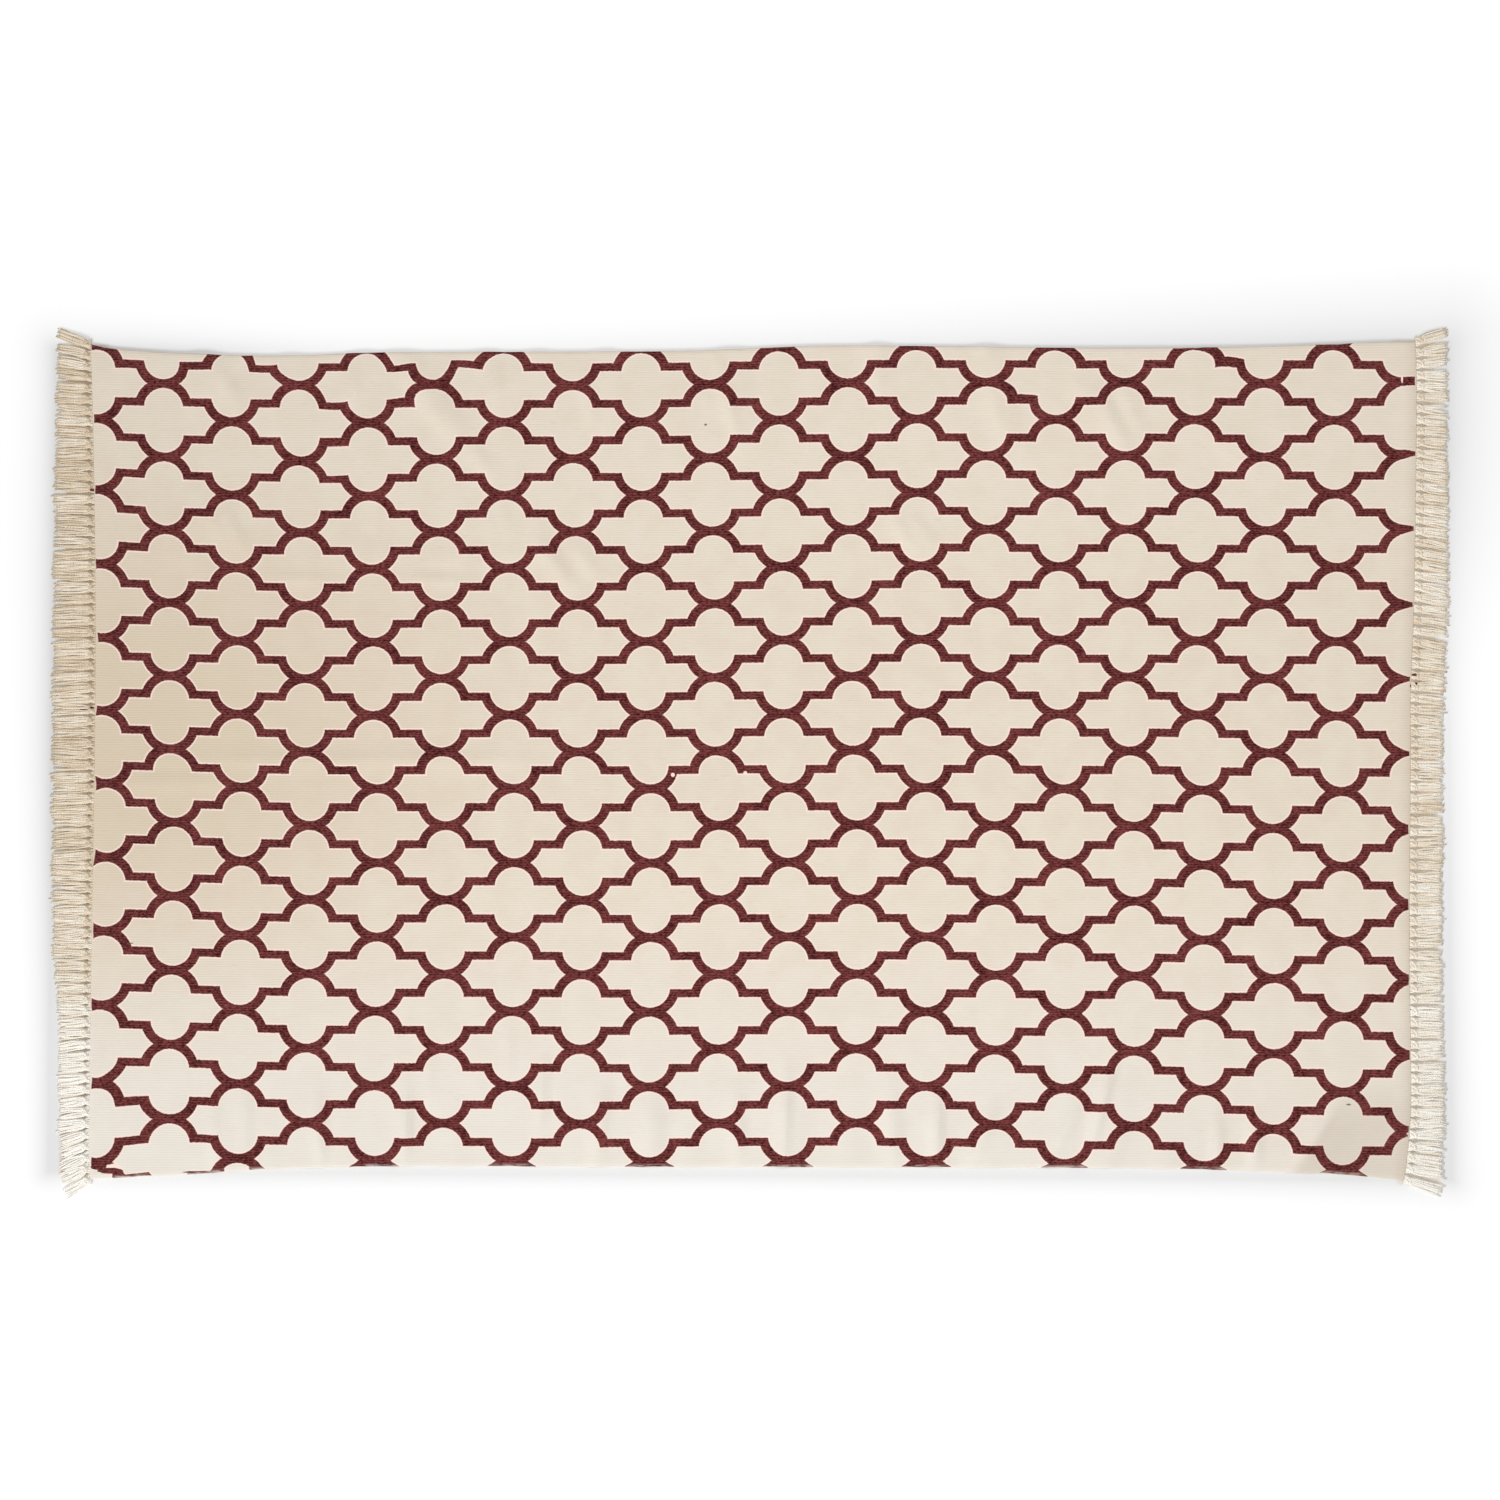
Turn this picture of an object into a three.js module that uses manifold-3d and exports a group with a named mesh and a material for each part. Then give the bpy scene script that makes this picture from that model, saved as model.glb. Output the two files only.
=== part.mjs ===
// A flat-woven cotton rug lying on the floor, with a knotted fringe of warp ends along both short ends.
// Millimetres, +Z up. The origin is on the floor, under the middle of the rug and its fringes.
// +X runs along the warp towards the right-hand fringe, +Y across it towards the upper long edge.
import * as THREE from "three";
import { mergeVertices } from "three/addons/utils/BufferGeometryUtils.js";
import Module from "manifold-3d";

const wasm = await Module();
wasm.setup();

// Cloth sizes
const CLOTH_THICK = 3; // a stout flat weave with ribs, as thick as two of its warp yarns
const HALF_LENGTH = 720; // from the middle to each woven end, before its unevenness
const HALF_WIDTH = 447; // from the middle to each long edge, likewise
const COLUMNS = 84; // steps along the warp, about 17 mm each
const ROWS = 22; // steps across it, closer near the long edges, where the cloth puckers
const ROW_CROWDING = 0.45; // share by which the outer rows are closer than the average

// Fringe sizes
const LOCKS = 76; // knotted locks along one end, about 12 mm apart
const STRIP_GAP = 0.3; // between the last weft and the strip of gathered warp ends
const STRIP_WIDE = 2.8;
const STRIP_THICK = 2.6;
const STRIP_PAST_CORNER = 6; // how far the strip reaches past the long edges, where the corner knots bunch
const ROOT_SUNK = 1.2; // how far a lock's root runs into the strip

// How each outline runs, as the distance by which it stands outside the plain rectangle.
const LEFT_END = [
  { at: -460, out: -13 },
  { at: -442, out: -5 },
  { at: -370, out: -4 },
  { at: -205, out: -4.5 },
  { at: 0, out: -6 },
  { at: 175, out: -5.5 },
  { at: 375, out: -0.5 },
  { at: 458, out: 3 },
];
const RIGHT_END = [
  { at: -455, out: -11 },
  { at: -425, out: -6.5 },
  { at: -370, out: -2 },
  { at: -205, out: -2.5 },
  { at: 0, out: 0 },
  { at: 65, out: 0.5 },
  { at: 175, out: 5 },
  { at: 390, out: 9 },
  { at: 455, out: 8 },
];
const LOWER_EDGE = [
  { at: -712, out: 12 },
  { at: -600, out: 6.5 },
  { at: -550, out: 2 },
  { at: -385, out: -3.5 },
  { at: -265, out: -4 },
  { at: 170, out: -5.5 },
  { at: 430, out: -6 },
  { at: 620, out: -2 },
  { at: 710, out: 4.5 },
];
const UPPER_EDGE = [
  { at: -723, out: 10.5 },
  { at: -690, out: 5 },
  { at: -607, out: -0.5 },
  { at: -507, out: -3 },
  { at: -407, out: 0 },
  { at: -60, out: 0.5 },
  { at: 88, out: 5.5 },
  { at: 365, out: 2 },
  { at: 560, out: 2.5 },
  { at: 690, out: 7 },
];

// Soft ridges, where the cloth stands a little off the floor. x and y are a ridge's middle, lean is the
// angle in degrees by which its upper end leans towards +X, long and wide are half its size each way.
const RIDGES = [
  { x: -566, y: -450, lean: 0, long: 125, wide: 24, rise: 3.5 },
  { x: -515, y: -450, lean: 0, long: 90, wide: 20, rise: 2 },
  { x: -474, y: -450, lean: 4, long: 110, wide: 20, rise: 2.5 },
  { x: -430, y: -450, lean: 0, long: 80, wide: 20, rise: 2 },
  { x: -375, y: -450, lean: 5, long: 120, wide: 24, rise: 4 },
  { x: -316, y: -450, lean: 0, long: 90, wide: 22, rise: 2 },
  { x: -223, y: -450, lean: -5, long: 120, wide: 24, rise: 3 },
  { x: -158, y: -450, lean: 6, long: 110, wide: 22, rise: 2 },
  { x: -108, y: -450, lean: 0, long: 90, wide: 22, rise: 2.5 },
  { x: -59, y: -450, lean: 5, long: 100, wide: 20, rise: 2.5 },
  { x: 48, y: -450, lean: 4, long: 140, wide: 26, rise: 5 },
  { x: 110, y: -450, lean: 6, long: 110, wide: 22, rise: 2.5 },
  { x: 208, y: -450, lean: 5, long: 115, wide: 24, rise: 3.5 },
  { x: 258, y: -450, lean: 25, long: 120, wide: 22, rise: 3 },
  { x: 325, y: -450, lean: 31, long: 130, wide: 24, rise: 5 },
  { x: 388, y: -450, lean: 13, long: 150, wide: 24, rise: 4.5 },
  { x: 450, y: -450, lean: 10, long: 90, wide: 22, rise: 2.5 },
  { x: 600, y: -450, lean: 37, long: 130, wide: 24, rise: 5 },
  { x: -600, y: 450, lean: -22, long: 150, wide: 24, rise: 3.5 },
  { x: -501, y: 450, lean: 0, long: 100, wide: 22, rise: 2.5 },
  { x: -419, y: 450, lean: 0, long: 95, wide: 22, rise: 2.5 },
  { x: -345, y: 400, lean: -38, long: 150, wide: 24, rise: 4.5 },
  { x: -288, y: 450, lean: 0, long: 110, wide: 20, rise: 2.5 },
  { x: -228, y: 450, lean: 0, long: 80, wide: 20, rise: 2.5 },
  { x: -155, y: 450, lean: -6, long: 110, wide: 22, rise: 2.5 },
  { x: -12, y: 420, lean: -10, long: 130, wide: 24, rise: 3 },
  { x: 145, y: 450, lean: -9, long: 110, wide: 22, rise: 3 },
  { x: 268, y: 430, lean: -15, long: 150, wide: 24, rise: 3.5 },
  { x: 392, y: 370, lean: -34, long: 85, wide: 22, rise: 3.5 },
  { x: 540, y: 337, lean: -45, long: 60, wide: 22, rise: 2 },
  { x: -566, y: 250, lean: -30, long: 75, wide: 24, rise: 2 },
  { x: -200, y: 205, lean: -35, long: 85, wide: 24, rise: 3.5 },
  { x: 173, y: 258, lean: -32, long: 65, wide: 22, rise: 2.5 },
  { x: -330, y: 222, lean: 90, long: 200, wide: 22, rise: 2 },
  { x: -400, y: -2, lean: 90, long: 330, wide: 24, rise: 2 },
];

// How far the locks reach outwards from the woven end, at places along it.
const LEFT_REACH = [
  { at: -460, out: 34.5 },
  { at: -270, out: 38 },
  { at: -205, out: 44 },
  { at: 0, out: 49 },
  { at: 200, out: 48.5 },
  { at: 390, out: 42 },
  { at: 460, out: 40 },
];
const RIGHT_REACH = [
  { at: -460, out: 43 },
  { at: -370, out: 38 },
  { at: 0, out: 36 },
  { at: 172, out: 38.5 },
  { at: 400, out: 34 },
  { at: 460, out: 37 },
];

// How many degrees the locks lean towards +Y, at places along the woven end.
const LEFT_LEAN = [
  { at: -460, out: -28 },
  { at: -440, out: -23 },
  { at: -400, out: -12 },
  { at: -350, out: -3 },
  { at: 0, out: 0 },
  { at: 400, out: 2 },
  { at: 440, out: 9 },
  { at: 462, out: 27 },
];
const RIGHT_LEAN = [
  { at: -460, out: -17 },
  { at: -440, out: -7 },
  { at: -390, out: 0 },
  { at: 0, out: -1 },
  { at: 150, out: -8 },
  { at: 300, out: -6 },
  { at: 400, out: -3 },
  { at: 430, out: 4 },
  { at: 460, out: 20 },
];

// A lock's sections from its root to its tip: the share of its length, and its width and height there.
const LOCK_SECTIONS = [
  { along: 0, wide: 5, high: 2.2 },
  { along: 0.16, wide: 8.8, high: 5 },
  { along: 0.36, wide: 6.4, high: 3.6 },
  { along: 1, wide: 8.4, high: 1.8 },
];
const LOCK_TOP_SHARE = 0.65; // width of a lock's top face against its underside
const LOCK_SWAY = 0.5; // sideways wander of each section, in mm
const LOCK_LEAN = 1.5; // most that a lock leans by itself, in degrees
const LOCK_LENGTH_VARIES = 0.06;

const COLOURS = { cloth: 0xe4d7c6, fringe: 0xe9dfcf };
const ROUGHNESS = 0.94;

// A repeatable unevenness between -1 and 1 for the nth piece of a kind.
function uneven(n, kind) {
  const wave = Math.sin(n * 12.9898 + kind * 78.233) * 43758.5453;
  return 2 * (wave - Math.floor(wave)) - 1;
}

// A smooth curve through the rows of a table, level beyond its ends.
function along(table, at) {
  const place = THREE.MathUtils.clamp(at, table[0].at, table[table.length - 1].at);
  const next = Math.max(1, table.findIndex((row) => row.at >= place));
  const slopeAt = (i) => {
    const before = table[Math.max(0, i - 1)];
    const after = table[Math.min(table.length - 1, i + 1)];
    return (after.out - before.out) / (after.at - before.at);
  };
  const low = table[next - 1];
  const high = table[next];
  const span = high.at - low.at;
  const t = (place - low.at) / span;
  const rise = slopeAt(next - 1) * span * t * (1 - t) * (1 - t);
  const fall = slopeAt(next) * span * t * t * (t - 1);
  return THREE.MathUtils.lerp(low.out, high.out, t * t * (3 - 2 * t)) + rise + fall;
}

const leftEnd = (y) => -HALF_LENGTH - along(LEFT_END, y);
const rightEnd = (y) => HALF_LENGTH + along(RIGHT_END, y);
const lowerEdge = (x) => -HALF_WIDTH - along(LOWER_EDGE, x);
const upperEdge = (x) => HALF_WIDTH + along(UPPER_EDGE, x);

// A soft swell that is 1 in the middle and dies out evenly at a distance of 1.
const swell = (distance) => (distance < 1 ? 0.5 + 0.5 * Math.cos(Math.PI * distance) : 0);

// How high the cloth's underside stands off the floor.
function lift(x, y) {
  let highest = 0;
  for (const ridge of RIDGES) {
    const lean = THREE.MathUtils.degToRad(ridge.lean);
    const across = (x - ridge.x) * Math.cos(lean) - (y - ridge.y) * Math.sin(lean);
    const down = (x - ridge.x) * Math.sin(lean) + (y - ridge.y) * Math.cos(lean);
    const rise = ridge.rise * swell(Math.abs(across) / ridge.wide) * swell(Math.abs(down) / ridge.long);
    highest = Math.max(highest, rise);
  }
  return highest;
}

// A closed block whose vertices, given as shares from 0 to 1 of its three sides, are put in place one by one.
function shapedBlock(steps, place) {
  const block = new THREE.BoxGeometry(1, 1, 1, ...steps);
  const points = block.getAttribute("position");
  for (let i = 0; i < points.count; i++) {
    points.setXYZ(i, ...place(points.getX(i) + 0.5, points.getY(i) + 0.5, points.getZ(i) + 0.5));
  }
  block.deleteAttribute("normal");
  block.deleteAttribute("uv");
  return mergeVertices(block, 1e-4);
}

// A place on the cloth, by its shares of the way along and across.
function clothPlace(u, v) {
  const across = v - (ROW_CROWDING * Math.sin(2 * Math.PI * v)) / (2 * Math.PI);
  const level = THREE.MathUtils.lerp(-HALF_WIDTH, HALF_WIDTH, across);
  const x = THREE.MathUtils.lerp(leftEnd(level), rightEnd(level), u);
  return new THREE.Vector2(x, THREE.MathUtils.lerp(lowerEdge(x), upperEdge(x), across));
}

function clothGeometry() {
  return shapedBlock([COLUMNS, ROWS, 1], (u, v, w) => {
    const { x, y } = clothPlace(u, v);
    return [x, y, lift(x, y) + w * CLOTH_THICK];
  });
}

// The corners of the cloth's edge at one end, which the strip follows. It runs a little past both.
function endCorners(outwards) {
  const corners = [];
  for (let row = 0; row <= ROWS; row++) {
    corners.push(clothPlace(outwards > 0 ? 1 : 0, row / ROWS));
  }
  corners[0].y -= STRIP_PAST_CORNER;
  corners[ROWS].y += STRIP_PAST_CORNER;
  return corners;
}

function stripGeometry(corners, outwards) {
  return shapedBlock([1, ROWS, 1], (u, v, w) => {
    const { x, y } = corners[Math.round(v * ROWS)];
    const step = outwards > 0 ? u : 1 - u;
    return [x + outwards * (STRIP_GAP + step * STRIP_WIDE), y, w * STRIP_THICK];
  });
}

// The nth lock from the bottom, lying level on the floor.
function lockGeometry(corners, outwards, reach, leanings, n) {
  const kind = outwards + 2;
  const rootY = THREE.MathUtils.lerp(corners[0].y, corners[ROWS].y, (n + 0.5) / LOCKS);
  const next = corners.findIndex((corner) => corner.y > rootY);
  const past = (rootY - corners[next - 1].y) / (corners[next].y - corners[next - 1].y);
  const edgeX = THREE.MathUtils.lerp(corners[next - 1].x, corners[next].x, past);
  const rootX = edgeX + outwards * (STRIP_GAP + STRIP_WIDE - ROOT_SUNK);
  const length = (along(reach, rootY) - STRIP_WIDE) * (1 + LOCK_LENGTH_VARIES * uneven(n, kind));
  const lean = THREE.MathUtils.degToRad(along(leanings, rootY) + LOCK_LEAN * uneven(n, kind + 10));
  return shapedBlock([LOCK_SECTIONS.length - 1, 1, 1], (u, v, w) => {
    const section = Math.round(u * (LOCK_SECTIONS.length - 1));
    const { along: stage, wide, high } = LOCK_SECTIONS[section];
    const sway = section > 1 ? LOCK_SWAY * uneven(n, kind + 20 + section) : 0;
    const side = outwards * (0.5 - v) * wide * (w > 0.5 ? LOCK_TOP_SHARE : 1) + sway;
    const out = stage * (length + ROOT_SUNK);
    return [
      rootX + outwards * (out * Math.cos(lean) + side * Math.sin(lean)),
      rootY + out * Math.sin(lean) - side * Math.cos(lean),
      w * high,
    ];
  });
}

function solid(geometry) {
  return new wasm.Manifold(
    new wasm.Mesh({
      numProp: 3,
      vertProperties: new Float32Array(geometry.getAttribute("position").array),
      triVerts: new Uint32Array(geometry.index.array),
    }),
  );
}

function geometryOf(joined) {
  const { vertProperties, triVerts } = joined.getMesh();
  const geometry = new THREE.BufferGeometry();
  geometry.setAttribute("position", new THREE.BufferAttribute(vertProperties, 3));
  geometry.setIndex(new THREE.BufferAttribute(triVerts, 1));
  geometry.computeVertexNormals();
  return geometry;
}

// One strip of gathered warp ends with all its locks growing out of it.
function fringeGeometry(outwards, reach, leanings) {
  const corners = endCorners(outwards);
  let joined = solid(stripGeometry(corners, outwards));
  for (let n = 0; n < LOCKS; n++) {
    joined = joined.add(solid(lockGeometry(corners, outwards, reach, leanings, n)));
  }
  return geometryOf(joined);
}

function piece(name, geometry, color) {
  const material = new THREE.MeshStandardMaterial({ color, roughness: ROUGHNESS, metalness: 0 });
  const mesh = new THREE.Mesh(geometry, material);
  mesh.name = name;
  return mesh;
}

const rug = new THREE.Group();
rug.name = "rug";
rug.add(piece("rug_cloth", geometryOf(solid(clothGeometry())), COLOURS.cloth));
rug.add(piece("fringe_left", fringeGeometry(-1, LEFT_REACH, LEFT_LEAN), COLOURS.fringe));
rug.add(piece("fringe_right", fringeGeometry(1, RIGHT_REACH, RIGHT_LEAN), COLOURS.fringe));

export default rug;
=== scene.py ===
# A flat-woven cotton rug with a printed trellis and knotted fringes, lying on a pale studio floor.
# Metres, +Z up. +X runs along the warp to the right-hand fringe, +Y across it to the upper long edge.
# Lengths in the tables are in millimetres. The outline, the soft ridges and the reach of the locks repeat
# the part's source. The tables of leanings have more places near the corners than the source's.
import math

import bmesh
import bpy
import numpy as np
from mathutils import Matrix, Vector


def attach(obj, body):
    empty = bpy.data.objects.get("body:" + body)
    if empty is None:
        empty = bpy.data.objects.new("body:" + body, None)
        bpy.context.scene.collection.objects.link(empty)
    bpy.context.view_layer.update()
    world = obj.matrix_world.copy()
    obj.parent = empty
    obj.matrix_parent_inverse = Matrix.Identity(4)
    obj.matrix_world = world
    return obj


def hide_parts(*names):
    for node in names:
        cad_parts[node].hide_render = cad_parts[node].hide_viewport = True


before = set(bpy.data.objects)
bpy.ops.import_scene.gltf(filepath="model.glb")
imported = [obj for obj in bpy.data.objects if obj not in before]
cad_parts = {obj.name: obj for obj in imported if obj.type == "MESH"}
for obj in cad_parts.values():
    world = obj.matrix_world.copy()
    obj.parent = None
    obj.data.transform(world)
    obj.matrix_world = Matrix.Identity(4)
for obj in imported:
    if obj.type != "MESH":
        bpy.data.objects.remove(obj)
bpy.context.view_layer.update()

MM = 0.001

# Cloth sizes in millimetres, and the flat size in metres
CLOTH_THICK = 3.0
HALF_LENGTH = 720.0
HALF_WIDTH = 447.0
COLUMNS = 270
ROWS = 170
RIM_ROUNDING = 1.1
RIM_ANGLE = 60

# How each outline runs: places along it, and how far it stands outside the plain rectangle there.
LEFT_END = (
    (-460, -13), (-442, -5), (-370, -4), (-205, -4.5), (0, -6), (175, -5.5), (375, -0.5), (458, 3),
)
RIGHT_END = (
    (-455, -11), (-425, -6.5), (-370, -2), (-205, -2.5), (0, 0), (65, 0.5), (175, 5), (390, 9), (455, 8),
)
LOWER_EDGE = (
    (-712, 12), (-600, 6.5), (-550, 2), (-385, -3.5), (-265, -4), (170, -5.5), (430, -6), (620, -2),
    (710, 4.5),
)
UPPER_EDGE = (
    (-723, 10.5), (-690, 5), (-607, -0.5), (-507, -3), (-407, 0), (-60, 0.5), (88, 5.5), (365, 2),
    (560, 2.5), (690, 7),
)

# Soft ridges: middle x and y, lean in degrees of the upper end towards +X, half length, half width, rise.
RIDGES = (
    (-566, -450, 0, 125, 24, 3.5),
    (-515, -450, 0, 90, 20, 2),
    (-474, -450, 4, 110, 20, 2.5),
    (-430, -450, 0, 80, 20, 2),
    (-375, -450, 5, 120, 24, 4),
    (-316, -450, 0, 90, 22, 2),
    (-223, -450, -5, 120, 24, 3),
    (-158, -450, 6, 110, 22, 2),
    (-108, -450, 0, 90, 22, 2.5),
    (-59, -450, 5, 100, 20, 2.5),
    (48, -450, 4, 140, 26, 5),
    (110, -450, 6, 110, 22, 2.5),
    (208, -450, 5, 115, 24, 3.5),
    (258, -450, 25, 120, 22, 3),
    (325, -450, 31, 130, 24, 5),
    (388, -450, 13, 150, 24, 4.5),
    (450, -450, 10, 90, 22, 2.5),
    (600, -450, 37, 130, 24, 5),
    (-600, 450, -22, 150, 24, 3.5),
    (-501, 450, 0, 100, 22, 2.5),
    (-419, 450, 0, 95, 22, 2.5),
    (-345, 400, -38, 150, 24, 4.5),
    (-288, 450, 0, 110, 20, 2.5),
    (-228, 450, 0, 80, 20, 2.5),
    (-155, 450, -6, 110, 22, 2.5),
    (-12, 420, -10, 130, 24, 3),
    (145, 450, -9, 110, 22, 3),
    (268, 430, -15, 150, 24, 3.5),
    (392, 370, -34, 85, 22, 3.5),
    (540, 337, -45, 60, 22, 2),
    (-566, 250, -30, 75, 24, 2),
    (-200, 205, -35, 85, 24, 3.5),
    (173, 258, -32, 65, 22, 2.5),
    (-330, 222, 90, 200, 22, 2),
    (-400, -2, 90, 330, 24, 2),
)

# Narrow folds on top of the ridges, with the same columns as the ridges.
FOLDS = (
    (-579, -400, 0, 66, 11, 3.4),
    (-545, -400, 0, 66, 13, 3.4),
    (-463, -405, -3, 66, 12, 4.2),
    (-369, -395, 0, 66, 10, 4.2),
    (-343, -350, 0, 40, 9, 1.5),
    (-257, -320, 0, 50, 9, 1.7),
    (-220, -365, 3, 56, 9, 3.6),
    (-158, -400, 6, 76, 15, 4.2),
    (-100, -400, 0, 66, 22, 3.8),
    (-8, -400, 0, 66, 14, 3.6),
    (43, -395, 3, 86, 9.5, 5.2),
    (160, -395, 0, 70, 18, 3.4),
    (208, -400, 3, 56, 11, 4.0),
    (258, -405, 20, 62, 14, 3.6),
    (345, -400, 31, 58, 14, 3.6),
    (385, -375, 14, 90, 11, 5.0),
    (510, -412, 0, 48, 12, 2.6),
    (550, -412, 0, 48, 12, 3.0),
    (617, -400, 34, 64, 12, 4.2),
    (-566, 405, -25, 48, 14, 2.0),
    (-517, 398, 0, 52, 10, 2.6),
    (-432, 410, 0, 50, 12, 2.4),
    (-347, 385, -35, 62, 16, 1.3),
    (-274, 412, 0, 50, 11, 2.2),
    (-172, 402, -5, 52, 11, 2.6),
    (-18, 388, -14, 80, 12, 2.8),
    (145, 408, -12, 62, 12, 1.5),
    (268, 392, -20, 62, 14, 1.1),
    (397, 376, -22, 46, 11, 1.6),
    (421, 380, -22, 46, 12, 1.2),
    (512, 345, -45, 32, 10, 1.0),
    (170, 248, -35, 36, 11, 1.4),
    (193, 250, -35, 36, 12, 1.2),
    (-288, 325, -35, 36, 11, 1.2),
    (-208, 212, -35, 42, 13, 2.2),
    (-174, 216, -35, 42, 15, 1.8),
    (-278, 255, -20, 34, 9, 1.0),
    (-261, 257, -20, 36, 9, 1.3),
    (-583, 256, -25, 40, 9, 1.3),
    (-563, 255, -25, 40, 9, 1.4),
    (-490, 197, 90, 62, 11, 1.3),
    (-335, 196, 94, 62, 12, 1.6),
    (-410, -1, 90, 330, 9, 0.8),
    (-620, -26, 90, 120, 14, 1.0),
)
# Under the folds the ridges keep only a share of their rise. Above a steep level the cloth flops over, so
# that it rises only by a share from there on.
RIDGE_SHARE = 0.5
FLOP_LEVEL = 4.8
FLOP_SHARE = 0.35

# The flat layout for baking, as shares of a square: half the cloth's length and width, the height of the
# strip for the face, then the start and the height of the strip for the back.
LAID_HALF_LONG = 0.485
LAID_HALF_WIDE = 0.48
LAID_FACE = 0.63
LAID_BACK_START = 0.65
LAID_BACK = 0.34

# The row of locks in millimetres and degrees: how far it runs past the cloth's corners, how far out a lock
# has taken on its whole lean, and by how much the reach, the lean and the tone vary from lock to lock.
LOCKS = 76
STRIP_PAST_CORNER = 6.0
LEANS_BY = 8.0
REACH_VARIES = 0.03
LEAN_VARIES = 3.0
TONE_VARIES = 0.5

# How far the locks reach outwards, at places along the end.
LEFT_REACH = ((-460, 34.5), (-270, 38), (-205, 44), (0, 49), (200, 48.5), (390, 42), (460, 40))
RIGHT_REACH = ((-460, 43), (-370, 38), (0, 36), (172, 38.5), (400, 34), (460, 37))
# How many degrees they lean towards +Y.
LEFT_LEAN = (
    (-460, -28), (-440, -23), (-400, -12), (-350, -3), (0, 0), (380, 2), (405, 5), (425, 9), (440, 14),
    (462, 21),
)
RIGHT_LEAN = (
    (-460, -17), (-445, -11), (-430, -6), (-390, 0), (0, -1), (150, -8), (300, -6), (400, -3), (425, 4),
    (440, 11), (460, 20),
)
# How pale they are.
LEFT_TONE = ((-460, 2.2), (-320, 1.5), (-200, -0.3), (0, -0.95), (200, -0.9), (460, -0.7))
RIGHT_TONE = ((-460, 1.3), (-300, 1.0), (0, 0.0), (460, 0.3))
# How wide the locks are beside the usual, from the thinnest to the fullest.
LEFT_FULLNESS = (0.97, 1.15)
RIGHT_FULLNESS = (0.88, 1.06)

# The knots in millimetres: how far out they sit, the size of their lobes along and across the lock, the
# height and the rise of the cord, its radius, the rings round it and how far it goes from ring to ring.
# The template for them is a plain loop with a radius of its own.
KNOT_OUT = 5.0
KNOT_LONG = 0.9
KNOT_WIDE = 1.12
KNOT_HEIGHT = 2.75
KNOT_RISE = 1.1
CORD_RADIUS = 1.3
KNOT_RINGS = 15
RING_STEP = 2.0
LOOP_RADIUS = 3.0

# The yarns of a lock lie in two layers. Each has its first rings at fixed distances outwards, over the
# knot, and the others at shares of the way from past the knot to its tip.
LOWER_YARNS = 8
UPPER_YARNS = 6
UPPER_WIDTH = 0.85
YARN_RADIUS = 0.95
YARN_SIDES = 5
ROOT_RINGS = (-1.2, 1.6, KNOT_OUT)
PAST_KNOT = 3.5
TIP_RINGS = (0, 0.2, 0.42, 0.64, 0.84, 1)
YARN_RINGS = len(ROOT_RINGS) + len(TIP_RINGS)
# At each ring: the width of the lock, how far a yarn sways and strays, its height in the lower and in the
# upper layer, and its radius as a share of the usual.
LOCK_WIDTHS = np.array([12.0, 11.2, 8.0, 10.4, 12.0, 12.4, 12.5, 12.4, 11.6])
SWAYS = np.array([0, 0, 0, 0.4, 1, 1, 1, 1.2, 1.4])
STRAYS = np.array([0, 0, 0, 0, 0.3, 0.6, 1, 1.5, 2])
LOWER_HEIGHTS = np.array([1.5, 1.5, 1.9, 1.25, 1.15, 1.12, 1.1, 1.0, 0.9])
UPPER_HEIGHTS = np.array([1.6, 1.8, 2.9, 2.7, 2.3, 2.1, 1.9, 1.6, 1.1])
YARN_TAPER = np.array([0.6, 0.8, 0.95, 1.0, 1.0, 1.0, 0.98, 0.9, 0.6])
# How single yarns differ: their place in the lock, their length, and the few that stand out further.
SLIPS = 0.03
USUAL_LENGTH = 0.97
SHORTER = 0.06
LONGER = 0.04
LONG_ONES = 0.04
LONG_BY = 2.5
# The waves along a yarn: their size sideways and upwards, how much slower they go upwards, and their
# shortest and longest length over 2 pi.
WAVE_WIDE = 0.45
WAVE_HIGH = 0.2
SLOWER_UPWARDS = 0.7
WAVE_LONG = (4.5, 7.5)
# The most that a tip strays, and the smallest and largest size of a yarn and of a knot.
STRAY_MOST = 1.1
YARN_GROWS = (0.9, 1.12)
KNOT_GROWS = (0.9, 1.08)
# How pale a yarn is: what it takes of its lock's tone and what it has of its own, how much paler the upper
# layer is as painted light, and how much darker the lower one and the outer yarns are as painted shade. A
# knot takes more of the lock's tone.
TONE_OF_LOCK = 0.5
TONE_OF_YARN = 0.4
UPPER_PAINTED_PALER = 0.35
LOWER_PAINTED_DARKER = 0.15
OUTER_PAINTED_DARKER = 1.6
KNOT_OF_LOCK = 0.6
KNOT_DARKER = 0.25


# Shapes of the cloth

def along(table, at):
    """A smooth curve through a table of places and values, level beyond its ends."""
    places, values = np.array(table, float).T
    slopes = np.empty_like(values)
    slopes[1:-1] = (values[2:] - values[:-2]) / (places[2:] - places[:-2])
    slopes[0] = (values[1] - values[0]) / (places[1] - places[0])
    slopes[-1] = (values[-1] - values[-2]) / (places[-1] - places[-2])
    at = np.clip(at, places[0], places[-1])
    k = np.clip(np.searchsorted(places, at), 1, len(places) - 1)
    span = places[k] - places[k - 1]
    t = (at - places[k - 1]) / span
    level = values[k - 1] + (values[k] - values[k - 1]) * t * t * (3 - 2 * t)
    return level + slopes[k - 1] * span * t * (1 - t) ** 2 + slopes[k] * span * t * t * (t - 1)


def left_end(y):
    return -HALF_LENGTH - along(LEFT_END, y)


def right_end(y):
    return HALF_LENGTH + along(RIGHT_END, y)


def lower_edge(x):
    return -HALF_WIDTH - along(LOWER_EDGE, x)


def upper_edge(x):
    return HALF_WIDTH + along(UPPER_EDGE, x)


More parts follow.
